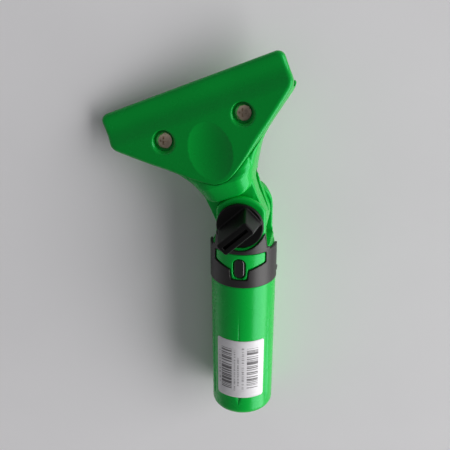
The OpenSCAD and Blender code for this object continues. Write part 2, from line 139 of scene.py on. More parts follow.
class Outline:
    """Signed distance to a closed polygon, kept on a fine grid and read by bilinear lookup."""

    def __init__(self, pts, pad=14, step=0.25):
        p = np.array(pts, float)
        lo, hi = p.min(0) - pad, p.max(0) + pad
        n = np.ceil((hi - lo) / step).astype(int) + 1
        x = (lo[0] + step * np.arange(n[0]))[:, None]
        z = (lo[1] + step * np.arange(n[1]))[None, :]
        d = np.full((n[0], n[1]), 1e9)
        inside = np.zeros((n[0], n[1]), bool)
        for a, b in zip(p, np.roll(p, -1, 0)):
            e = b - a
            t = np.clip(((x - a[0]) * e[0] + (z - a[1]) * e[1]) / max(e @ e, 1e-12), 0, 1)
            d = np.minimum(d, (x - a[0] - t * e[0]) ** 2 + (z - a[1] - t * e[1]) ** 2)
            if a[1] != b[1]:
                hit = ((a[1] > z) != (b[1] > z)) & (x < e[0] * (z - a[1]) / (b[1] - a[1]) + a[0])
                inside ^= hit
        self.d = (np.sqrt(d) * np.where(inside, -1, 1)).astype(np.float32)
        self.lo, self.step, self.n = lo, step, n

    def __call__(self, x, z):
        x, z = np.broadcast_arrays(x, z)
        u = np.clip((x - self.lo[0]) / self.step, 0, self.n[0] - 1.001)
        v = np.clip((z - self.lo[1]) / self.step, 0, self.n[1] - 1.001)
        i, j = u.astype(np.int32), v.astype(np.int32)
        u, v = u - i, v - j
        d = self.d
        return ((d[i, j] * (1 - u) + d[i + 1, j] * u) * (1 - v)
                + (d[i, j + 1] * (1 - u) + d[i + 1, j + 1] * u) * v).astype(np.float32)


# ---------------------------------------------------------------- meshes
SLOPE_NEAR, SLOPE_WIDE = 0.06, 0.12  # mm either side of a point for the field's slope


def slope(field, p, e):
    """Gradient of a field at points p, taken over a step of e each way."""
    g = [(field(*(p + e * o).T.astype(np.float32)) - field(*(p - e * o).T.astype(np.float32)))
         / (2 * e) for o in np.eye(3)]
    return np.stack(g, 1).astype(float)


def net(field, lo, hi, step):
    """Closed mesh of the zero surface of a field: points, four-sided faces and normals."""
    ax = [np.arange(lo[k], hi[k] + step, step, dtype=np.float32) for k in range(3)]
    f = field(ax[0][:, None, None], ax[1][None, :, None], ax[2][None, None, :])
    f = np.array(np.broadcast_to(f, tuple(len(a) for a in ax)), np.float32)
    f[np.abs(f) < 1e-6] = 1e-6
    s = f < 0
    n = [len(a) - 1 for a in ax]
    # one point in each cell that the surface crosses, at the mean of its edge crossings
    corners = [(i, j, k) for i in (0, 1) for j in (0, 1) for k in (0, 1)]
    count = sum(s[i:i + n[0], j:j + n[1], k:k + n[2]].astype(np.int8) for i, j, k in corners)
    cell = np.argwhere((count > 0) & (count < 8))
    ids = np.full(n, -1, np.int64)
    ids[tuple(cell.T)] = np.arange(len(cell))
    val = np.stack([f[cell[:, 0] + i, cell[:, 1] + j, cell[:, 2] + k] for i, j, k in corners], 1)
    total, hits = np.zeros((len(cell), 3)), np.zeros(len(cell))
    for a in range(8):
        for b in range(a + 1, 8):
            if sum(p != q for p, q in zip(corners[a], corners[b])) != 1:
                continue
            m = (val[:, a] < 0) != (val[:, b] < 0)
            t = np.where(m, val[:, a] / np.where(m, val[:, a] - val[:, b], 1), 0)
            pa, pb = np.array(corners[a]), np.array(corners[b])
            total += m[:, None] * (pa + t[:, None] * (pb - pa))
            hits += m
    pts = (cell + total / hits[:, None]) * step + np.array([a[0] for a in ax])
    # one face across each grid edge that changes side
    quads = []
    for k in range(3):
        u, v = (k + 1) % 3, (k + 2) % 3
        a = [slice(0, n[m] + 1) for m in range(3)]
        b = list(a)
        a[k], b[k] = slice(0, n[k]), slice(1, n[k] + 1)
        edge = np.argwhere(s[tuple(a)] != s[tuple(b)])
        edge = edge[(edge[:, u] > 0) & (edge[:, v] > 0) & (edge[:, u] < n[u]) & (edge[:, v] < n[v])]
        flip = s[tuple(edge.T)]
        q = []
        for du, dv in ((-1, -1), (0, -1), (0, 0), (-1, 0)):
            c = edge.copy()
            c[:, u] += du
            c[:, v] += dv
            q.append(ids[tuple(c.T)])
        q = np.stack(q, 1)
        quads.append(np.where(flip[:, None], q, q[:, ::-1]))
    # two steps towards the true surface, held to half a cell each
    for _ in range(2):
        g = slope(field, pts, SLOPE_NEAR)
        d = field(*pts.T.astype(np.float32)).astype(float)
        move = g * (d / np.maximum((g * g).sum(1), 0.2))[:, None]
        size = np.linalg.norm(move, axis=1, keepdims=True)
        pts = pts - move * np.minimum(1, 0.5 * step / np.maximum(size, 1e-9))
    g = slope(field, pts, SLOPE_WIDE)
    normals = g / np.maximum(np.linalg.norm(g, axis=1, keepdims=True), 1e-9)
    return pts, np.concatenate(quads), normals


def piece(name, pts, faces, material, basis=TOOL, normals=None):
    """Mesh object from points in mm in the given frame."""
    me = bpy.data.meshes.new(name)
    me.from_pydata(to_row(pts, basis).tolist(), [], np.asarray(faces).tolist())
    me.update()
    me.shade_smooth()
    if normals is not None:
        me.normals_split_custom_set_from_vertices((np.asarray(normals) @ basis.T).tolist())
    ob = bpy.data.objects.new(name, me)
    bpy.context.scene.collection.objects.link(ob)
    me.materials.append(material)
    return ob


def moulded(name, field, lo, hi, step, material, basis=TOOL):
    """Piece from a field, meshed in the box from lo to hi."""
    pts, faces, normals = net(field, lo, hi, step)
    return piece(name, pts, faces, material, basis, normals)


# ---------------------------------------------------------------- materials
def node_tree(name):
    mat = bpy.data.materials.new(name)
    mat.use_nodes = True
    tree = mat.node_tree
    bsdf = tree.nodes["Principled BSDF"]
    return mat, tree, bsdf


def link(tree, a, b):
    tree.links.new(a, b)


def object_coords(tree):
    return tree.nodes.new("ShaderNodeTexCoord").outputs["Object"]


def noise(tree, coord, scale, detail=3.0, rough=0.5):
    n = tree.nodes.new("ShaderNodeTexNoise")
    n.inputs["Scale"].default_value = scale
    n.inputs["Detail"].default_value = detail
    n.inputs["Roughness"].default_value = rough
    link(tree, coord, n.inputs["Vector"])
    return n.outputs["Fac"]


def ramp(tree, fac, stops):
    r = tree.nodes.new("ShaderNodeValToRGB")
    while len(r.color_ramp.elements) < len(stops):
        r.color_ramp.elements.new(0.5)
    for e, (p, c) in zip(r.color_ramp.elements, stops):
        e.position = p
        e.color = (*c, 1)
    link(tree, fac, r.inputs["Fac"])
    return r.outputs["Color"]


def span(tree, fac, lo, hi):
    """Spread a value from 0..1 over lo..hi."""
    n = tree.nodes.new("ShaderNodeMapRange")
    n.inputs["To Min"].default_value = lo
    n.inputs["To Max"].default_value = hi
    link(tree, fac, n.inputs["Value"])
    return n.outputs["Result"]


def math_node(tree, op, a, b):
    n = tree.nodes.new("ShaderNodeMath")
    n.operation = op
    for k, val in enumerate((a, b)):
        if isinstance(val, (int, float)):
            n.inputs[k].default_value = val
        else:
            link(tree, val, n.inputs[k])
    return n.outputs[0]


def mixed(tree, fac, a, b):
    """Mix the socket a with the plain colour b."""
    n = tree.nodes.new("ShaderNodeMix")
    n.data_type = "RGBA"
    link(tree, fac, n.inputs["Factor"])
    link(tree, a, n.inputs["A"])
    n.inputs["B"].default_value = (*b, 1)
    return n.outputs["Result"]


def bump(tree, bsdf, layers):
    """Chain of bump nodes: (height, strength, distance in metres)."""
    last = None
    for height, strength, dist in layers:
        b = tree.nodes.new("ShaderNodeBump")
        b.inputs["Strength"].default_value = strength
        b.inputs["Distance"].default_value = dist
        link(tree, height, b.inputs["Height"])
        if last:
            link(tree, last, b.inputs["Normal"])
        last = b.outputs["Normal"]
    link(tree, last, bsdf.inputs["Normal"])


def spread(c, k):
    return tuple(min(1, v * k) for v in c)


SCUFF_SHARE = 0.12  # how far a scuff lightens the plastic
FINE_DEPTH, BROAD_DEPTH = 0.00003, 0.0002  # metres


def plastic(name, color, rough, rough_var, grain, var, coat=0.0, spec=0.5, tint_spec=(1, 1, 1)):
    """Moulded plastic: fine grain, faint flow marks, uneven gloss and a few light scuffs."""
    mat, tree, bsdf = node_tree(name)
    co = object_coords(tree)
    broad = noise(tree, co, 35, 3)
    fine = noise(tree, co, 900, 2)
    tint = ramp(tree, broad, [(0.3, spread(color, 1 - var)), (0.7, spread(color, 1 + var))])
    marks = ramp(tree, noise(tree, co, 260, 6, 0.75), [(0.66, (0, 0, 0)), (0.8, (1, 1, 1))])
    amount = math_node(tree, "MULTIPLY", marks, SCUFF_SHARE)
    scuffed = mixed(tree, amount, tint, [v * 0.97 + 0.01 for v in color])
    link(tree, scuffed, bsdf.inputs["Base Color"])
    gloss = span(tree, noise(tree, co, 120, 4), rough - rough_var, rough + rough_var)
    link(tree, gloss, bsdf.inputs["Roughness"])
    bsdf.inputs["Specular IOR Level"].default_value = spec
    bsdf.inputs["Specular Tint"].default_value = (*tint_spec, 1)
    bsdf.inputs["Coat Weight"].default_value = coat
    bsdf.inputs["Coat Roughness"].default_value = 0.15
    bump(tree, bsdf, [(fine, grain, FINE_DEPTH), (broad, 0.12, BROAD_DEPTH)])
    return mat


def metal(name, color, rough, stretch=(1, 1, 1), grain=0.3, var=0.15, depth=FINE_DEPTH, size=700):
    """Worked metal: brushed or turned streaks, small stains and uneven gloss."""
    mat, tree, bsdf = node_tree(name)
    co = object_coords(tree)
    mp = tree.nodes.new("ShaderNodeMapping")
    mp.inputs["Scale"].default_value = stretch
    link(tree, co, mp.inputs["Vector"])
    streak = noise(tree, mp.outputs["Vector"], size, 4)
    stain = noise(tree, co, size * 0.25, 4)
    tint = ramp(tree, stain, [(0.3, spread(color, 1 - var)), (0.7, spread(color, 1 + var))])
    link(tree, tint, bsdf.inputs["Base Color"])
    bsdf.inputs["Metallic"].default_value = 1.0
    link(tree, span(tree, streak, rough * 0.7, rough * 1.4), bsdf.inputs["Roughness"])
    bump(tree, bsdf, [(streak, grain, depth)])
    return mat


GREEN = (0.0004, 0.430, 0.040)
# painted shade: the clamp plate is the same green plastic as the rest, but it reads a little darker in the photo
# than the rest of the green because it faces away from the light, so it gets a darker copy of the green
PLATE_PAINTED_SHADE = 0.8
GREEN_FINISH = dict(rough=0.27, rough_var=0.04, grain=0.15, var=0.05, spec=0.6,
                    tint_spec=(0.28, 1.0, 0.66))
green = plastic("green_plastic", GREEN, **GREEN_FINISH)
jaw_green_painted_shade = plastic("green_jaw_painted_shade", spread(GREEN, PLATE_PAINTED_SHADE), **GREEN_FINISH)
black = plastic("black_plastic", (0.014, 0.012, 0.013), 0.42, 0.06, 0.5, 0.12)
knob_black = plastic("knob_plastic", (0.003, 0.003, 0.003), 0.36, 0.05, 0.35, 0.1, spec=0.22)
button_black = plastic("button_plastic", (0.004, 0.004, 0.005), 0.12, 0.03, 0.05, 0.1, coat=0.6)
disc_black = plastic("disc_plastic", (0.02, 0.02, 0.022), 0.6, 0.05, 0.4, 0.1)
steel = metal("steel", (0.60, 0.59, 0.57), 0.3)
screw_steel = metal("screw_steel", (0.50, 0.40, 0.31), 0.20, grain=1.0, var=0.7, depth=0.0004,
                    size=420)
spring_steel = metal("spring_steel", (0.45, 0.46, 0.48), 0.3, (1, 8, 1))
brass = metal("brass", (0.70, 0.48, 0.18), 0.28)

# ---------------------------------------------------------------- sizes, in mm
# handle tube, from the pivot down, and its bore
HANDLE_LEN, R_TOP, R_END, END_ROUND = 122.3, 18.0, 17.4, 4.0
SOCKET_R, SOCKET_DEPTH, BORE_R = 12.75, 64.0, 11.0
SEAM = 34.6  # where the fork piece ends and the tube piece begins
FLUTES, FLUTE_TOP, FLUTE_DEPTH, FLUTE_ASPECT = 6, 50, 0.95, 1.9
# fork: ears round the pivot, slot between them
SLOT_HALF, SLOT_FLOOR, EAR_R, FRONT_FLAT, REAR_FLAT = 9.5, 15.2, 15.3, 13.0, 16.0
EAR_FLARE, FRONT_EAR_HALF, SLOT_RISE, SLOT_WEB = 1.9, 13.5, 1.3, 2.4
PIN_R, BOLT_HEX, BOLT_POCKET = 3.05, 5.05, 3.9
RIM_R = 12.95  # green rim under the knob
# collar round the foot of the fork, with its window
COLLAR_R, COLLAR_WALL, COLLAR_LOW, COLLAR_TOP = 18.5, 1.5, 36.4, 13.7
COLLAR_PEAK, PEAK_HALF, COLLAR_CUT, COLLAR_BACK = 4.3, 13.2, 14.0, 11.2
CATCH_IN, CATCH_OUT, CATCH_HALF, CATCH_LOW, CATCH_TOP = 15, 18.8, 1.6, 32.4, 30.4
SEAT_R = COLLAR_R - COLLAR_WALL
WINDOW_TOP, WINDOW_SIDE, WINDOW_HALF = 16.0, 6.9, 13.9
TAB_LOW, TAB_HIGH, TAB_FOOT, TAB_SLOPE = 4.7, 5.4, 31.8, 3.1
CORNER = 0.9  # radius of the window's corners
PAD_RISE = 0.9  # green pad in the window, above the collar's seat
# release button, its flange and its spring
HOLE_W, HOLE_LEN, BUTTON_Z, BUTTON_GAP = 6.9, 12.4, 25.2, 0.6
BUTTON_SINK, FLANGE_LIP, FLANGE_TOP, FLANGE_LOW, FLANGE_POCKET = 0.9, 3, 13.3, 12.3, 13.6
THUMB_R, THUMB_OUT = 5.4, 5.2
LEAF_Y, LEAF_T, LEAF_HALF, LEAF_LOW, LEAF_TOP = 10.6, 0.5, 2.5, 47.0, 21.6
RIVET_Z, RIVET_R, BEND_LOW, BEND_TOP = 43.5, 1.5, 41.0, 30.2
# knob
KNOB_Y, KNOB_FACE, KNOB_R, KNOB_BORE, BORE_TOP = 14.12, 16.82, 12.7, 3.9, 10
GRIP_TOP, GRIP_TURN, GRIP_HALF, GRIP_TAPER, GRIP_LONG = 32.6, 44.0, 3.7, 0.17, 10.6
MARK_HALF, MARK_LONG, MARK_DEPTH = 0.85, 8.5, 3
# head: neck, plate, chin, channel seat and screws
NECK_T, NECK_HALF, BUSH_R = 8.88, 13.5, 4.55
JAW_HALF, JAW_TOP, JAW_FOOT, JAW_CORNER = 52.6, 75.0, 20.0, 4.0
JAW_FRONT, JAW_T, JAW_GAP = 22.0, 6.0, 0.15
BACK_HALF, BACK_CORNER = 51.8, 1.5
CHIN_LOW, CHIN_TOP, CHIN_RISE, UNDER_FLAT, UNDER_R = 15.7, 38.0, 5.7, 5.5, 12.0
CHIN_STEP, CHIN_SLOPE, CHIN_SOFT = 2.1, 0.4, 7.5
GROOVE_MID, GROOVE_HALF, GROOVE_Y, GROOVE_SHIFT, GROOVE_R, GROOVE_NARROW = 8, 10, 4.9, 2.6, 3.7, 2.8
HOOK_TOP, HOOK_T, SEAT_DEPTH = 58.6, 2.2, 3.2
SCREW_X, SCREW_Z, SCREW_HOLE, RECESS_R, RECESS_D = 22.8, 51.3, 2.25, 5.6, 3.4
CONE_DROP, CONE_WIDER, CONE_SLOPE, CONE_SCALE = 1.0, 0.9, 0.83, 0.77
NUT_HEX, NUT_DEPTH = 3.55, 3.2
LIP, LIP_DROP, VALLEY_LONG, VALLEY_DEPTH = 1.6, 0.5, 18, 1.3
BOWL_DEPTH, BOWL_X, BOWL_Z, BOWL_MID = 2.5, 11.8, 15.6, 38.0
PART_Y = -JAW_FRONT + JAW_T  # parting plane of the two jaws, in the jaw frame
BACK_Y = NECK_T - 0.1
SP, CP = math.sin(math.radians(PITCH)), math.cos(math.radians(PITCH))
HOOK_BACK = (BACK_Y - HOOK_TOP * SP) / CP
HOOK_FRONT = HOOK_BACK - HOOK_T
SEAT_FLOOR = HOOK_TOP - SEAT_DEPTH

# ---------------------------------------------------------------- handle: tube
TAPER_TOP = 8  # the taper starts this far below the collar
FLUTE_PITCH = 360.0 / FLUTES
# columns of the tube's mesh either side of each flute, in degrees, closest where it is cut
FLUTE_COLUMNS = (-6.6, -5.2, -4.0, -3.0, -2.2, -1.5, -0.9, -0.4, 0, 0.4, 0.9, 1.5, 2.2, 3.0,
                 4.0, 5.2, 6.6, 10, 14, 18, 22, 26, 30, 34, 38, 42, 46, 50)


def tube_radius(z):
    """Outer radius at height z, tapered below the collar."""
    t = np.clip((-z - COLLAR_LOW - TAPER_TOP)
                / (HANDLE_LEN - END_ROUND - COLLAR_LOW - TAPER_TOP), 0, 1)
    return R_TOP + (R_END - R_TOP) * t


def tube_profile():
    """Outer profile from the seam down to the open end, and the inner one back up."""
    end = HANDLE_LEN - END_ROUND
    step, edge = 0.1, 0.35
    outer = [(SEAT_R - step, -SEAM), (SEAT_R - step, -COLLAR_LOW - step),
             (SEAT_R + 0.5, -COLLAR_LOW - step)]
    outer += [(R_TOP - edge + edge * math.sin(a), -COLLAR_LOW - 0.45 + edge * math.cos(a))
              for a in np.radians([0, 30, 60, 90])]
    outer += [(float(tube_radius(z)), z) for z in
              -np.concatenate([np.linspace(38, 48, 5), np.linspace(50, 60, 14),
                               np.linspace(62, 106, 16), np.linspace(107.3, end, 12)])]
    outer += [(R_END - END_ROUND + END_ROUND * math.cos(a), -end - END_ROUND * math.sin(a))
              for a in np.radians(np.linspace(9, 90, 10))]
    shoulder = -HANDLE_LEN + SOCKET_DEPTH
    inner = [(SOCKET_R + 0.7, -HANDLE_LEN), (SOCKET_R + 0.35, -HANDLE_LEN + 0.1),
             (SOCKET_R, -HANDLE_LEN + 0.7)]
    inner += [(SOCKET_R, z) for z in np.linspace(-HANDLE_LEN + 2, shoulder - 0.3, 8)]
    inner += [(SOCKET_R - 0.1, shoulder), (BORE_R + 0.3, shoulder), (BORE_R, shoulder + 0.4),
              (BORE_R, -50), (BORE_R, -SEAM)]
    return outer, inner


def tube():
    outer, inner = tube_profile()
    prof = np.array(outer + inner)
    ang = np.radians(np.array([i * FLUTE_PITCH + a for i in range(FLUTES)
                               for a in FLUTE_COLUMNS]))
    n, m = len(ang), len(prof)
    r = np.repeat(prof[:, :1], n, 1)
    z = np.repeat(prof[:, 1:], n, 1)
    # V flutes that deepen and widen towards the open end, then run out
    off = np.abs((np.degrees(ang) + FLUTE_PITCH / 2) % FLUTE_PITCH - FLUTE_PITCH / 2)
    near = off * math.pi / 180 * R_TOP
    s = np.clip((-prof[:, 1] - FLUTE_TOP) / (HANDLE_LEN - 12 - FLUTE_TOP), 0, 1)
    tail = np.clip((HANDLE_LEN - 7 + prof[:, 1]) / 5, 0, 1)
    depth = FLUTE_DEPTH * s * np.minimum(1, tail)
    width = np.maximum(depth * FLUTE_ASPECT, 0.05)
    outside = ((np.arange(m) < len(outer)) & (-prof[:, 1] > FLUTE_TOP)
               & (-prof[:, 1] < HANDLE_LEN - 6))
    v = depth[:, None] * np.clip(1 - near[None, :] / width[:, None], 0, 1)
    r = r - np.where(outside[:, None], v, 0)
    pts = np.stack([r * np.sin(ang), -r * np.cos(ang), z], 2).reshape(-1, 3)
    i, j = np.meshgrid(np.arange(m - 1), np.arange(n), indexing="ij")
    k = (j + 1) % n
    faces = np.stack([i * n + j, (i + 1) * n + j, (i + 1) * n + k, i * n + k], 2)
    faces = faces.reshape(-1, 4)[:, ::-1]
    # close the ring between the bore and the seat at the seam
    last = (m - 1) * n
    jj = np.arange(n)
    kk = (jj + 1) % n
    cap = np.stack([last + jj, jj, kk, last + kk], 1)[:, ::-1]
    ob = piece("tube", pts, np.concatenate([faces, cap]), green)
    ob.data.set_sharp_from_angle(angle=math.radians(28))
    return ob


# ---------------------------------------------------------------- handle: fork
def window_outline(g):
    """Window polygon drawn in by g; its corners are rounded by moving it back out."""
    half = WINDOW_HALF - g
    low = WINDOW_TOP + WINDOW_SIDE - g
    root = low + TAB_SLOPE
    return [(-half, -WINDOW_TOP - g), (-half, -low), (-TAB_HIGH + g, -root),
            (-TAB_LOW + g, -TAB_FOOT + g), (TAB_LOW - g, -TAB_FOOT + g), (TAB_HIGH - g, -root),
            (half, -low), (half, -WINDOW_TOP - g)]


PAD = Outline(window_outline(0.5 + CORNER), step=0.12)
WINDOW = Outline(window_outline(CORNER), step=0.12)


def fork_field(x, y, z):
    r = np.hypot(x, y)
    wheel = np.hypot(x, z)
    # ears, wider below the pivot and flat in front and behind
    ear = np.hypot(x, np.maximum(z, 0)) - EAR_R - EAR_FLARE * np.clip((-z - 3) / 8, 0, 1)
    front = np.maximum(ear, np.where(y < 0, np.abs(x) - FRONT_EAR_HALF, -9))
    front = round_max(front, -FRONT_FLAT - y, 1.3)
    ears = round_max(round_max(r - R_TOP, front, 0.8), y - REAR_FLAT, 0.7)
    ears = np.maximum(ears, -z - COLLAR_CUT - 1)
    # full round body below the collar's top edge and under its front peaks
    low = np.maximum(z + COLLAR_TOP - 0.1, RIM_R - wheel)
    peak = np.maximum(np.maximum(z + COLLAR_PEAK + 0.2, np.abs(x) - PEAK_HALF), y)
    peak = np.maximum(peak, RIM_R - wheel)
    body = np.minimum(ears, np.maximum(r - SEAT_R + 0.1, np.minimum(low, peak)))
    # slot floor, a little higher between the flanks
    floor_z = SLOT_FLOOR - SLOT_RISE * np.clip((15.9 - np.abs(x)) / 0.8, 0, 1)
    slot = np.maximum(np.abs(y) - SLOT_HALF, -floor_z - z)
    body = round_max(body, -slot, 1.5 - 1.2 * np.clip((-z - 11) / 2, 0, 1))
    # pad in the collar's window, with the button's hole and a pocket for its flange
    pad = round_max(np.maximum(r - SEAT_R - PAD_RISE, y), PAD(x, z) - CORNER, 0.3)
    body = np.minimum(body, pad)
    hole = np.maximum(obround(x, z + BUTTON_Z, HOLE_W, HOLE_LEN), y)
    body = round_max(body, -hole, 0.45)
    flange = np.maximum(obround(x, z + BUTTON_Z, HOLE_W + FLANGE_LIP, HOLE_LEN + FLANGE_LIP),
                        slab(y, -FLANGE_POCKET, 0))
    body = np.maximum(body, -flange)
    # bore, pivot hole and hex pocket of the bolt's head
    body = np.maximum(body, -np.maximum(r - BORE_R, z + SLOT_FLOOR + SLOT_WEB))
    body = np.maximum(body, -(wheel - PIN_R))
    pocket = np.maximum(hexagon(x, z, BOLT_HEX), REAR_FLAT - BOLT_POCKET - y)
    body = round_max(body, -pocket, 0.3)
    return np.maximum(body, -SEAM - z)


# ---------------------------------------------------------------- collar
def collar_field(x, y, z):
    r = np.hypot(x, y)
    ring = round_max(r - COLLAR_R, SEAT_R - r, 0.1)
    # flat top edge with two peaks beside the knob, higher behind the slot
    peak = np.maximum(z + COLLAR_PEAK, np.abs(x) - PEAK_HALF - 0.12 * (-COLLAR_PEAK - z))
    peak = np.maximum(peak, y)
    back = np.maximum(z + COLLAR_BACK, SLOT_HALF + 0.2 - y)
    top = np.minimum(round_min(z + COLLAR_TOP, peak, 0.3), back)
    ring = round_max(ring, np.maximum(top, -COLLAR_LOW - z), 0.3)
    # slot for the turning head, round cut for the knob, window
    ring = round_max(ring, -np.maximum(np.abs(y) - SLOT_HALF, -SLOT_FLOOR - z), 0.3)
    ring = round_max(ring, np.maximum(COLLAR_CUT - np.hypot(x, z), y), 0.3)
    ring = round_max(ring, -np.maximum(WINDOW(x, z) - CORNER, y), 0.3)
    # small catch on the right side
    catch = np.maximum(slab(x, CATCH_IN, CATCH_OUT), slab(y, -CATCH_HALF, CATCH_HALF))
    catch = np.maximum(catch, slab(z, -CATCH_LOW, -CATCH_TOP))
    return np.minimum(ring, round_max(catch, SEAT_R - r, 0.1))


# ---------------------------------------------------------------- button and its leaf spring
def button_field(x, y, z):
    r = np.hypot(x, y)
    w, l = HOLE_W - BUTTON_GAP, HOLE_LEN - BUTTON_GAP
    peg = round_max(obround(x, z + BUTTON_Z, w, l), r - COLLAR_R + BUTTON_SINK, 1.3)
    # shallow thumb hollow across the middle
    thumb = np.hypot(y + COLLAR_R + THUMB_OUT, z + BUTTON_Z) - THUMB_R
    peg = round_max(peg, -thumb, 0.8)
    peg = np.maximum(peg, y + FLANGE_LOW)
    flange = round_max(obround(x, z + BUTTON_Z, w + FLANGE_LIP, l + FLANGE_LIP),
                       slab(y, -FLANGE_TOP, -FLANGE_LOW), 0.2)
    foot = round_max(obround(x, z + BUTTON_Z, w - 3, l - 5), slab(y, -12.6, -10.7), 0.2)
    return np.minimum(np.minimum(peg, flange), foot)


def leaf_field(x, y, z):
    leaf = round_max(np.maximum(np.abs(x) - LEAF_HALF, slab(z, -LEAF_LOW, -LEAF_TOP)),
                     slab(y, -LEAF_Y, -LEAF_Y + LEAF_T), 0.1)
    return round_max(leaf, RIVET_R - np.hypot(x, z + RIVET_Z), 0.05)


# ---------------------------------------------------------------- knob
def knob_field(x, y, z):
    c, s = math.cos(math.radians(GRIP_TURN)), math.sin(math.radians(GRIP_TURN))
    disc = round_max(np.hypot(x, z) - KNOB_R, slab(y, -KNOB_FACE, -KNOB_Y), 0.9)
    u, v = x * c + z * s, -x * s + z * c
    # grip bar, thicker at its root
    bar = round_max(np.abs(v) - GRIP_HALF - GRIP_TAPER * (y + GRIP_TOP),
                    np.hypot(u, v * 0.35) - GRIP_LONG, 1.4)
    bar = round_max(bar, slab(y, -GRIP_TOP, -KNOB_FACE + 1), 0.9)
    knob = round_min(disc, bar, 0.7)
    slot = np.maximum(np.abs(v) - MARK_HALF, np.abs(u) - MARK_LONG)
    slot = np.maximum(slot, y + GRIP_TOP - MARK_DEPTH)
    knob = round_max(knob, -slot, 0.25)
    hole = np.maximum(np.hypot(x, z) - KNOB_BORE, -y - KNOB_Y - BORE_TOP)
    return np.maximum(knob, -hole)


# ---------------------------------------------------------------- head
# half outlines as (x, z), from the top edge round to the foot
TOP_CORNER = arc((JAW_HALF - JAW_CORNER, JAW_TOP - JAW_CORNER), JAW_CORNER, 90, 0, 10)
UPPER_FLANK = [(JAW_HALF, 60.0), (52.4, 57.6), (51.0, 55.0), (48.4, 52.7), (43.0, 48.4),
               (34.5, 41.8)]
PLATE = mirrored(TOP_CORNER + spline(
    UPPER_FLANK + [(27.3, 36.5), (21.9, 32.5), (18.0, 29.6), (14.2, 26.9), (10.8, 24.5),
                   (7.4, 22.3), (3.8, 20.5), (0, JAW_FOOT)]))
# the rear body is fuller than the plate beside its foot
FULL = mirrored(TOP_CORNER + spline(
    UPPER_FLANK + [(27.6, 36.4), (23.4, 32.2), (20.2, 28.2), (17.6, 24.6), (15.7, 21.4),
                   (14.5, 18.0), (13.9, 15.0), (13.6, 11.0)])
                + [(NECK_HALF, 5.0), (NECK_HALF, -3.0), (0, -3.0)])
BACK_TOP = -HOOK_BACK * SP + HOOK_TOP * CP + 0.6
BACK = mirrored(
    arc((BACK_HALF - BACK_CORNER, BACK_TOP - BACK_CORNER), BACK_CORNER, 90, 0, 6)
    + spline([(51.6, 56.8), (49.6, 54.6), (46.2, 52.3), (42.0, 49.9), (37.5, 47.2), (33.0, 44.2),
              (29.7, 41.3), (26.3, 37.4), (23.2, 33.3), (20.3, 28.8), (17.3, 24.0), (14.8, 19.4),
              (NECK_HALF, 15.0)])
    + [(NECK_HALF * math.cos(math.radians(9 * i)), 14 - 2 * math.sin(math.radians(9 * i)))
       for i in range(11)])
PLATE_D = Outline(PLATE)
BACK_D = Outline(BACK)
FULL_D = Outline(FULL)


def chin_and_flanks(x, y, z, yk, zk):
    """Body of the rear jaw between the parting plane and the back."""
    # blend of the two outlines from front to back
    t = np.clip((yk - PART_Y) / ((BACK_Y - zk * SP) / CP - PART_Y), 0, 1)
    wedge = (1 - t) * FULL_D(x, zk) + t * BACK_D(x, z)
    # chin: beside and below the plate's foot the body stands in front of the parting plane,
    # well rounded
    rise = np.minimum(CHIN_STEP + CHIN_SLOPE * (z - CHIN_LOW),
                      CHIN_RISE * np.clip((CHIN_TOP - z) / 12, 0, 1))
    soft = 0.25 + CHIN_SOFT * np.clip((CHIN_TOP - z) / 10, 0, 1)
    front = round_max(wedge, PART_Y - yk - rise, soft)
    front = np.maximum(round_max(front, y - BACK_Y, 0.8), -z)
    # underside, rounded up towards both sides
    under = np.hypot(np.maximum(np.abs(x) - UNDER_FLAT, 0),
                     np.maximum(CHIN_LOW + UNDER_R - z, 0)) - UNDER_R
    return round_max(front, np.minimum(under, -NECK_T - y), 1.2)


def rear_field(x, y, z):
    yk = y * CP - z * SP
    zk = y * SP + z * CP
    wheel = np.hypot(x, z)
    neck = np.minimum(wheel - NECK_HALF, np.maximum(np.abs(x) - NECK_HALF, slab(z, 0, 24)))
    neck = round_max(neck, np.abs(y) - NECK_T, 0.5)
    body = round_min(chin_and_flanks(x, y, z, yk, zk), neck, 1.0)
    body = np.maximum(body, y - BACK_Y)
    # room for the plate, and for the fork's front ear
    body = np.maximum(body, -np.maximum(PLATE_D(x, zk) - 0.05, yk - PART_Y))
    body = np.maximum(body, -np.maximum(wheel - CHIN_LOW, y + 9.2))
    # tapering groove in each side of the neck
    k = np.clip((19 - z) / 20, 0, 1)
    along = np.maximum(np.abs(z - GROOVE_MID) - GROOVE_HALF, 0)
    groove = np.hypot(y - GROOVE_Y + GROOVE_SHIFT * k, along) - (GROOVE_R - GROOVE_NARROW * k)
    body = round_max(body, -np.maximum(groove, NECK_HALF - 3 + 2 * k - np.abs(x)), 0.5)
    # seat of the channel and the hook behind it
    seat = np.maximum(yk - HOOK_FRONT, SEAT_FLOOR - zk)
    body = round_max(body, -seat, 0.4)
    body = round_max(body, zk - HOOK_TOP, 0.6)
    body = np.maximum(body, -(np.hypot(x, z) - BUSH_R))
    # screw holes with hex pockets for the nuts
    nut = (BACK_Y - (SCREW_Z + 3.5) * SP) / CP
    for s in (-1, 1):
        dx, dz = x - s * SCREW_X, zk - SCREW_Z
        body = np.maximum(body, -(np.hypot(dx, dz) - SCREW_HOLE))
        pocket = np.maximum(hexagon(dx, dz, NUT_HEX), nut - NUT_DEPTH - yk)
        body = round_max(body, -pocket, 0.25)
    return body


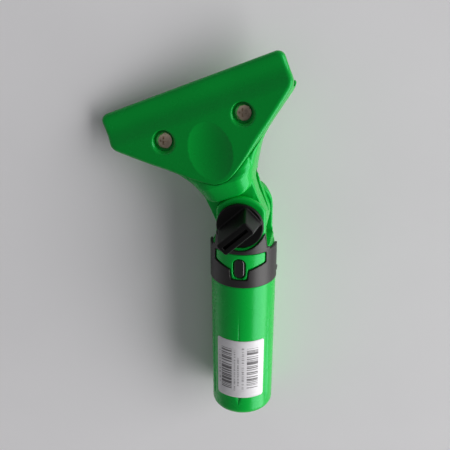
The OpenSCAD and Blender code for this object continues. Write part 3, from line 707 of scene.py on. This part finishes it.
def front_field(x, y, z):
    # face with a lip at the top, a shallow valley below it and the thumb dimple
    t = np.clip((JAW_TOP - LIP - z) / VALLEY_LONG, 0, 1)
    face = -JAW_FRONT + LIP_DROP + VALLEY_DEPTH * np.sin(np.pi * t) ** 2 - LIP_DROP * t
    bowl = BOWL_DEPTH * (1 - (x / BOWL_X) ** 2 - ((z - BOWL_MID) / BOWL_Z) ** 2)
    face = np.maximum(face, -JAW_FRONT + bowl)
    back = PART_Y - JAW_GAP - np.clip((z - SEAT_FLOOR - 6) / 2, 0, 1)
    plate = round_max(PLATE_D(x, z), face - y, 1.0 + 1.4 * np.clip((z - 28) / 8, 0, 1))
    plate = round_max(plate, y - back, 0.4)
    # screw holes in recesses that open out, a little more towards the foot
    for s in (-1, 1):
        dx, dz = x - s * SCREW_X, z - SCREW_Z
        plate = np.maximum(plate, -(np.hypot(dx, dz) - SCREW_HOLE))
        well = np.maximum(np.hypot(dx, dz) - RECESS_R, y + JAW_FRONT - RECESS_D)
        cone = np.hypot(dx, dz + CONE_DROP) - RECESS_R - CONE_WIDER + CONE_SLOPE * (y + JAW_FRONT)
        cone = np.maximum(cone * CONE_SCALE, y + JAW_FRONT - RECESS_D + 0.4)
        plate = round_max(plate, -np.minimum(well, cone), 0.45)
    return plate


# ---------------------------------------------------------------- label on the tube
LABEL_LEFT, LABEL_RIGHT = -45.0, 50.0  # degrees round the tube
LABEL_LOW, LABEL_TOP = -109.6, -71.0
LABEL_COLUMNS, LABEL_ROWS = 40, 34
LABEL_T = 0.06
CORNER_SHARE = 0.07  # size of the label's rounded corners
# two bar columns and four columns of short dashes: (seed, scale, cut, left, right, low, high)
LABEL_INK = ((3.1, 48, 0.49, 0.11, 0.34, 0.15, 0.86), (8.7, 44, 0.50, 0.64, 0.87, 0.17, 0.88),
             (5.3, 80, 0.53, 0.385, 0.415, 0.12, 0.84), (6.4, 90, 0.52, 0.45, 0.485, 0.20, 0.72),
             (7.6, 70, 0.55, 0.54, 0.585, 0.10, 0.90), (1.9, 75, 0.53, 0.05, 0.075, 0.20, 0.80))


def inside(tree, s, lo, hi):
    return math_node(tree, "MULTIPLY", math_node(tree, "GREATER_THAN", s, lo),
                     math_node(tree, "LESS_THAN", s, hi))


def bars(tree, v, seed, scale, cut):
    """Uneven stripes across the label's height."""
    comb = tree.nodes.new("ShaderNodeCombineXYZ")
    link(tree, v, comb.inputs["Y"])
    comb.inputs["X"].default_value = seed
    return math_node(tree, "GREATER_THAN", noise(tree, comb.outputs["Vector"], scale, 1.0), cut)


def label_paper():
    mat, tree, bsdf = node_tree("label_paper")
    uvn = tree.nodes.new("ShaderNodeUVMap")
    uvn.uv_map = "UVMap"
    sep = tree.nodes.new("ShaderNodeSeparateXYZ")
    link(tree, uvn.outputs["UV"], sep.inputs["Vector"])
    u, v = sep.outputs["X"], sep.outputs["Y"]
    ink = None
    for seed, scale, cut, left, right, low, high in LABEL_INK:
        field = math_node(tree, "MULTIPLY", inside(tree, u, left, right),
                          inside(tree, v, low, high))
        col = math_node(tree, "MULTIPLY", bars(tree, v, seed, scale, cut), field)
        ink = col if ink is None else math_node(tree, "MAXIMUM", ink, col)
    co = object_coords(tree)
    paper = ramp(tree, noise(tree, co, 300, 4),
                 [(0.3, (0.74, 0.73, 0.76)), (0.7, (0.82, 0.81, 0.84))])
    printed = mixed(tree, math_node(tree, "MULTIPLY", ink, 0.85), paper, (0.04, 0.035, 0.04))
    link(tree, printed, bsdf.inputs["Base Color"])
    bsdf.inputs["Roughness"].default_value = 0.45
    bump(tree, bsdf, [(noise(tree, co, 500, 3), 0.15, FINE_DEPTH)])
    return mat


def label():
    pts, uv = [], []
    for i in range(LABEL_ROWS + 1):
        v = i / LABEL_ROWS
        # the end rows are narrower, which rounds the corners
        past = max(0, abs(v - 0.5) * 2 - 1 + CORNER_SHARE) / CORNER_SHARE
        narrow = 1 - CORNER_SHARE * (1 - math.sqrt(max(0, 1 - past ** 2)))
        z = LABEL_LOW + (LABEL_TOP - LABEL_LOW) * v
        r = float(tube_radius(z)) + LABEL_T + 0.01
        for j in range(LABEL_COLUMNS + 1):
            u = j / LABEL_COLUMNS
            ang = math.radians((LABEL_LEFT + LABEL_RIGHT) / 2
                               + (u - 0.5) * (LABEL_RIGHT - LABEL_LEFT) * narrow)
            pts.append((r * math.sin(ang), -r * math.cos(ang), z))
            uv.append((u, v))
    n = LABEL_COLUMNS + 1
    faces = [(i * n + j, i * n + j + 1, (i + 1) * n + j + 1, (i + 1) * n + j)
             for i in range(LABEL_ROWS) for j in range(LABEL_COLUMNS)]
    ob = piece("label", pts, faces, label_paper())
    layer = ob.data.uv_layers.new(name="UVMap")
    for poly in ob.data.polygons:
        for li in poly.loop_indices:
            layer.data[li].uv = uv[ob.data.loops[li].vertex_index]
    thick = ob.modifiers.new("thick", "SOLIDIFY")
    thick.thickness = LABEL_T / 1000
    thick.offset = 1
    return ob


# ---------------------------------------------------------------- build
ob = tube()
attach(ob, "handle_body")
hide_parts("handle")
ob = moulded("fork", fork_field, (-19, -19, -35.4), (19.4, 19, 16.4), 0.5, green)
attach(ob, "handle_body")
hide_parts("handle")
ob = moulded("collar_skin", collar_field, (-19.6, -19.6, -37.4), (19.8, 19.6, -4.4), 0.45, black)
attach(ob, "handle_body")
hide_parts("collar")
ob = moulded("button_cap", button_field, (-6, -19, -35), (6, -10, -16), 0.25, button_black)
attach(ob, "button")
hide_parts("release_button")
ob = moulded("button_leaf", leaf_field, (-3, -11.2, -47.6), (3, -9.6, -21), 0.2, spring_steel)
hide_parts("button_spring")
# held by the rivet at one end, pushed by the button at the other
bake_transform(ob)
ob = moulded("knob_grip", knob_field, (-13.5, -33.4, -13.5), (13.5, -13.3, 13.5), 0.36, knob_black)
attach(ob, "knob_body")
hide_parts("knob")
ob = moulded("rear_jaw_skin", rear_field, (-53, -21.5, -15), (53, 10, 62.5), 0.52, green, HEAD)
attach(ob, "head")
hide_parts("rear_jaw")
# the front jaw takes the darker copy of the green, which is painted shade
ob = moulded("front_jaw_skin", front_field, (-53, -23.5, 19), (53, -14.5, 76.2), 0.5, jaw_green_painted_shade,
             JAW)
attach(ob, "jaw")
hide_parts("front_jaw")
ob = label()
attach(ob, "handle_body")

# CAD pieces that stay, each with its material and a small bevel
CAD_MATERIALS = {
    "spring_rivet": steel, "pivot_bolt": steel, "pivot_bush": brass,
    "friction_disc_front": disc_black, "friction_disc_rear": disc_black, "knob_insert": brass,
    "knob_washer": steel, "clamp_screw_left": screw_steel, "clamp_screw_right": screw_steel,
    "clamp_nut_left": steel, "clamp_nut_right": steel,
}
BEVEL_WIDTH = 0.00012  # metres
for name, mat in CAD_MATERIALS.items():
    node = frame["nodes"][name]
    node.data.materials.clear()
    node.data.materials.append(mat)
    bev = node.modifiers.new("edge", "BEVEL")
    bev.width = BEVEL_WIDTH
    bev.segments = 2
    bev.limit_method = "ANGLE"
    bev.angle_limit = math.radians(40)

# ---------------------------------------------------------------- floor
FLOOR_SIZE = 16  # metres, so that its edge stays far off in low views
bpy.ops.mesh.primitive_plane_add(size=FLOOR_SIZE, location=(0, 0.1, CAD_BOX[0][2]))
floor = bpy.context.object
floor.name = "floor"
fmat, ftree, fbsdf = node_tree("floor_paper")
fco = object_coords(ftree)
paper = ramp(ftree, noise(ftree, fco, 9, 4),
             [(0.3, (0.775, 0.77, 0.79)), (0.7, (0.805, 0.80, 0.82))])
link(ftree, paper, fbsdf.inputs["Base Color"])
fbsdf.inputs["Roughness"].default_value = 0.9
bump(ftree, fbsdf, [(noise(ftree, fco, 1500, 3), 0.1, 0.00005)])
floor.data.materials.append(fmat)

# ---------------------------------------------------------------- camera
# turned against the tool frame: it stands half a metre in front, towards the head and a little
# to the right
VIEW = rot("X", 25.5) @ rot("Z", -9.2)
EYE = (-10.4, -491.0, -6.2)
CAM = TOOL @ VIEW.T
cam = bpy.data.cameras.new("camera")
cam.lens = 72.0
cam.sensor_width = 36.0
cam.clip_start = 0.01
cam.clip_end = 20
cob = bpy.data.objects.new("camera", cam)
right, away, up = CAM[:, 0], CAM[:, 1], CAM[:, 2]
pose = np.eye(4)
pose[:3, :3] = np.stack([right, up, -away], 1)
pose[:3, 3] = to_row(VIEW.T @ np.array(EYE))
cob.matrix_world = Matrix(pose.tolist())
bpy.context.scene.collection.objects.link(cob)
bpy.context.scene.camera = cob

# ---------------------------------------------------------------- light
# one large soft light, low from the right, and a dim surround
KEY_RISE, KEY_TURN, KEY_AWAY = math.radians(13), math.radians(8), 3.3
KEY_DIR = TOOL @ np.array([math.cos(KEY_RISE) * math.cos(KEY_TURN), -math.sin(KEY_RISE),
                           -math.cos(KEY_RISE) * math.sin(KEY_TURN)])
key = bpy.data.lights.new("key", "AREA")
key.energy = 225
key.color = (1.0, 0.99, 0.98)
key.shape = "RECTANGLE"
key.size = 5.7
key.size_y = 3.3
key_ob = bpy.data.objects.new("key", key)
key_ob.location = Vector(to_row((0, 0, -20)) + KEY_DIR * KEY_AWAY)
key_ob.rotation_euler = Vector(-KEY_DIR).to_track_quat("-Z", "Y").to_euler()
bpy.context.scene.collection.objects.link(key_ob)
world = bpy.data.worlds.new("studio")
world.use_nodes = True
wtree = world.node_tree
wsep = wtree.nodes.new("ShaderNodeSeparateXYZ")
link(wtree, wtree.nodes.new("ShaderNodeTexCoord").outputs["Generated"], wsep.inputs["Vector"])
# a little brighter towards the horizon than overhead
sky = ramp(wtree, wsep.outputs["Z"],
           [(0.0, (0.31, 0.31, 0.315)), (0.3, (0.25, 0.25, 0.255)), (1.0, (0.15, 0.15, 0.153))])
link(wtree, sky, wtree.nodes["Background"].inputs["Color"])
bpy.context.scene.world = world
bpy.context.scene.view_settings.view_transform = "Standard"
